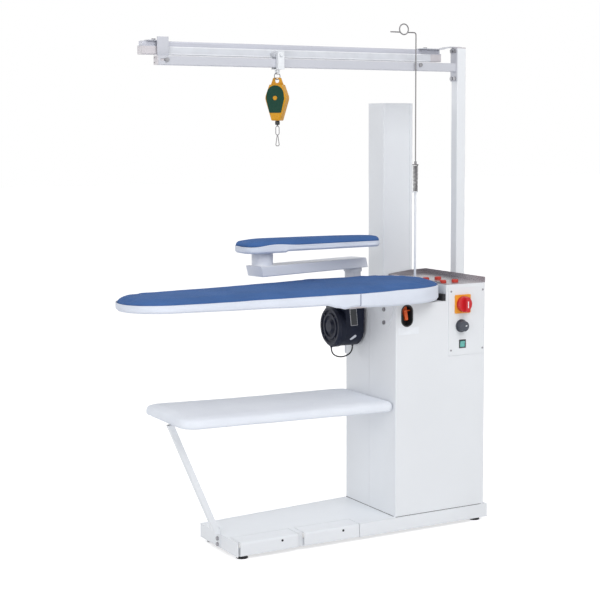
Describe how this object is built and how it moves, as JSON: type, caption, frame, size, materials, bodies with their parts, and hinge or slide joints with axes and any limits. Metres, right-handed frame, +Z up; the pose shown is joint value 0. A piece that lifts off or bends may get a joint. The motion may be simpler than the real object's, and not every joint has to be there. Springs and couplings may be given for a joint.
{
  "type": "industrial ironing table",
  "caption": "Vacuum ironing table: padded board, swinging sleeve board, blower cabinet with chimney and controls, lower shelf, foot pedals, overhead boom with lamp and spring balancer.",
  "frame": {"origin": "centre of the floor footprint of the whole table, on the floor", "axes": "+X right along the base, +Y to the back, +Z up"},
  "size_m": [1.3954, 0.593, 1.7882],
  "materials": {
    "white_paint": "satin powder coat",
    "grey_paint": "light grey paint",
    "zinc_plate": "zinc plated",
    "blue_cloth": "woven polyester cover",
    "white_cloth": "woven cover",
    "stainless": "brushed",
    "bright_wire": "bright plated",
    "dark_steel": "blackened",
    "grey_rubber": "matt",
    "red_silicone": "matt",
    "yellow_plastic": "matt",
    "red_plastic": "gloss",
    "grey_plastic": "matt",
    "green_plastic": "gloss",
    "black_plastic": "matt",
    "orange_plastic": "gloss",
    "black_casting": "black painted casting",
    "raw_aluminium": "satin",
    "case_yellow": "gloss",
    "nylon": "matt",
    "ply": "plywood"
  },
  "bodies": {
    "stand": {"base_frame": "white_paint", "cabinet_front": "white_paint", "cabinet_rear": "white_paint", "cabinet_top": "white_paint", "control_panel": "white_paint", "chimney_duct": "white_paint", "chimney_cover": "white_paint", "post": "white_paint", "shelf_strut": "white_paint", "lamp_brackets": "white_paint", "board_bracket": "white_paint", "antenna_mast": "white_paint", "arm_socket": "grey_paint", "boom": "grey_paint", "fasteners": "zinc_plate", "board_cover": "blue_cloth", "board_skirt": "white_cloth", "shelf_cover": "white_cloth", "iron_rest": "stainless", "board_pan": "stainless", "board_plate": "stainless", "board_heater": "stainless", "pedal_pins": "stainless", "fan_scroll": "stainless", "suction_duct": "stainless", "antenna_spring": "dark_steel", "feet": "grey_rubber", "board_gasket": "grey_rubber", "motor_cable": "grey_rubber", "rest_studs": "red_silicone", "switch_plate": "yellow_plastic", "switch_bodies": "black_plastic", "selector_housing": "black_plastic", "motor_body": "black_casting", "motor_end_cover": "black_casting", "lamp_housing": "raw_aluminium", "lamp_diffuser": "nylon", "end_caps": "nylon", "shelf_panel": "ply"},
    "pedal_left": {"pedal_left": "white_paint"},
    "pedal_right": {"pedal_right": "white_paint"},
    "main_switch": {"main_knob": "red_plastic"},
    "thermostat": {"thermostat_knob": "grey_plastic"},
    "rocker": {"rocker": "green_plastic"},
    "selector": {"selector_lever": "orange_plastic"},
    "fan": {"fan_rotor": "raw_aluminium"},
    "arm": {"swing_arm": "grey_paint"},
    "sleeve": {"sleeve_pan": "stainless", "sleeve_cover": "blue_cloth", "sleeve_skirt": "white_cloth"},
    "trolley": {"trolley_frame": "white_paint", "hanger_ring": "bright_wire"},
    "roller": {"trolley_roller": "nylon"},
    "balancer": {"balancer_front": "case_yellow", "balancer_back": "case_yellow"},
    "drum": {"balancer_drum": "raw_aluminium"},
    "hook": {"balancer_cord": "bright_wire", "cord_stopper": "black_plastic", "snap_hook": "bright_wire"},
    "guide": {"antenna_rod": "bright_wire"}
  },
  "joints": [
    {"name": "pedal_left_press", "type": "hinge", "parent": "stand", "child": "pedal_left", "pos_m": [-0.2195, -0.1335, 0.051], "axis": [1, 0, 0], "range_deg": [0, 6], "stiffness_Nm_per_rad": 3, "springref_deg": -17.19},
    {"name": "pedal_right_press", "type": "hinge", "parent": "stand", "child": "pedal_right", "pos_m": [0.0205, -0.1335, 0.051], "axis": [1, 0, 0], "range_deg": [0, 6], "stiffness_Nm_per_rad": 3, "springref_deg": -17.19},
    {"name": "main_switch_turn", "type": "hinge", "parent": "stand", "child": "main_switch", "pos_m": [0.5585, -0.1995, 0.797], "axis": [0, 1, 0], "range_deg": [0, 90]},
    {"name": "thermostat_turn", "type": "hinge", "parent": "stand", "child": "thermostat", "pos_m": [0.5535, -0.1995, 0.719], "axis": [0, 1, 0], "range_deg": [-135, 135]},
    {"name": "rocker_press", "type": "hinge", "parent": "stand", "child": "rocker", "pos_m": [0.5595, -0.1925, 0.654], "axis": [1, 0, 0], "range_deg": [-12, 0]},
    {"name": "selector_move", "type": "hinge", "parent": "stand", "child": "selector", "pos_m": [0.326, -0.1775, 0.785], "axis": [1, 0, 0], "range_deg": [-10, 12]},
    {"name": "fan_spin", "type": "hinge", "parent": "stand", "child": "fan", "pos_m": [0.3105, 0.0685, 0.712], "axis": [1, 0, 0], "continuous": true},
    {"name": "arm_swing", "type": "hinge", "parent": "stand", "child": "arm", "pos_m": [0.3295, 0.1785, 0.908], "axis": [0, 0, 1], "range_deg": [-60, 45]},
    {"name": "sleeve_turn", "type": "hinge", "parent": "arm", "child": "sleeve", "pos_m": [-0.1019, 0.06934, 0.991], "axis": [0, 0, 1], "range_deg": [-90, 90]},
    {"name": "trolley_roll", "type": "slide", "parent": "stand", "child": "trolley", "axis": [1, 0, 0], "range_m": [-0.35, 0.42]},
    {"name": "roller_spin", "type": "hinge", "parent": "trolley", "child": "roller", "pos_m": [-0.0735, 0.0065, 1.6663], "axis": [0, 1, 0], "range_deg": [-1600, 1900]},
    {"name": "balancer_swing", "type": "hinge", "parent": "trolley", "child": "balancer", "pos_m": [-0.0735, 0.0065, 1.5832], "axis": [1, 0, 0], "range_deg": [-15, 15]},
    {"name": "hook_pull", "type": "slide", "parent": "balancer", "child": "hook", "axis": [0, 0, -1], "range_m": [0, 0.3], "stiffness_N_per_m": 5, "springref_m": -1.6, "deforming": ["balancer_cord"]},
    {"name": "drum_turn", "type": "hinge", "parent": "balancer", "child": "drum", "pos_m": [-0.0735, 0.0065, 1.52015], "axis": [0.766, 0.6428, 0], "range_deg": [0, 700]},
    {"name": "guide_sway", "type": "hinge", "parent": "stand", "child": "guide", "pos_m": [0.4755, -0.0165, 1.238], "axis": [0, 1, 0], "range_deg": [-12, 12], "stiffness_Nm_per_rad": 4, "deforming": ["antenna_spring"]}
  ],
  "couplings": [
    {"joint": "roller_spin", "follows": "trolley_roll", "rad_per_m": 76.923},
    {"joint": "drum_turn", "follows": "hook_pull", "rad_per_m": 38.462}
  ]
}
